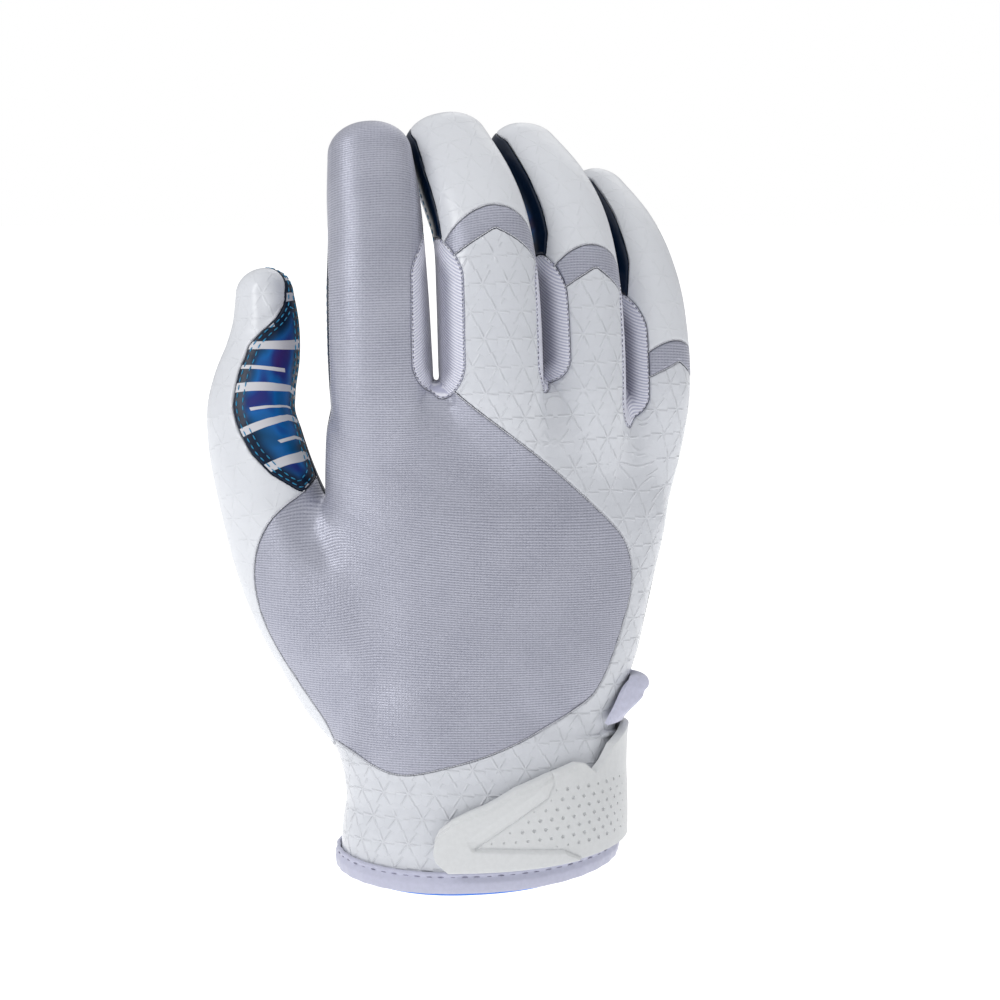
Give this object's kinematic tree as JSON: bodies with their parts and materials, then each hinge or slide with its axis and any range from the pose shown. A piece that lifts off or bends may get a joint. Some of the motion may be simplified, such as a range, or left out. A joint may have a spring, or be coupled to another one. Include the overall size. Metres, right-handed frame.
{
  "type": "football receiver glove",
  "caption": "Receiver's glove for the right hand, held in its worn shape: knit back, embossed overlay, printed grip palm and a moulded strap round the cuff.",
  "frame": {"origin": "centre of the cuff's mouth, level with the lowest point of the hem", "axes": "+Z from the wrist towards the fingertips, +X towards the little finger, +Y towards the palm; the back of the hand faces -Y"},
  "size_m": [0.1378, 0.0914, 0.2159],
  "materials": {
    "grey_knit": "silver-grey satin knit with fine ribs across",
    "white_film": "white cloth under a glossy embossed film",
    "printed_grip": "tacky synthetic leather, printed navy, blue and purple with white bars",
    "ribbed_knit": "pale lavender ribbed stretch knit",
    "binding_tape": "pale lavender folded tape",
    "lining_edge": "bright blue knit edge",
    "moulded_strap": "matt white moulded elastomer"
  },
  "bodies": {
    "root": {"back_panel": "grey_knit", "back_overlay": "white_film", "thumb_back": "white_film", "thumb_wrap": "printed_grip", "middle_tip_back": "white_film", "ring_tip_back": "white_film", "little_tip_back": "white_film", "middle_flex_band": "grey_knit", "ring_flex_band": "grey_knit", "little_flex_band": "grey_knit", "fourchette_index_middle": "ribbed_knit", "fourchette_middle_ring": "ribbed_knit", "fourchette_ring_little": "ribbed_knit", "palm_panel": "printed_grip", "cuff_binding": "binding_tape", "cuff_edge_lining": "lining_edge", "wrist_strap": "moulded_strap", "vent_gusset": "ribbed_knit"}
  },
  "joints": []
}
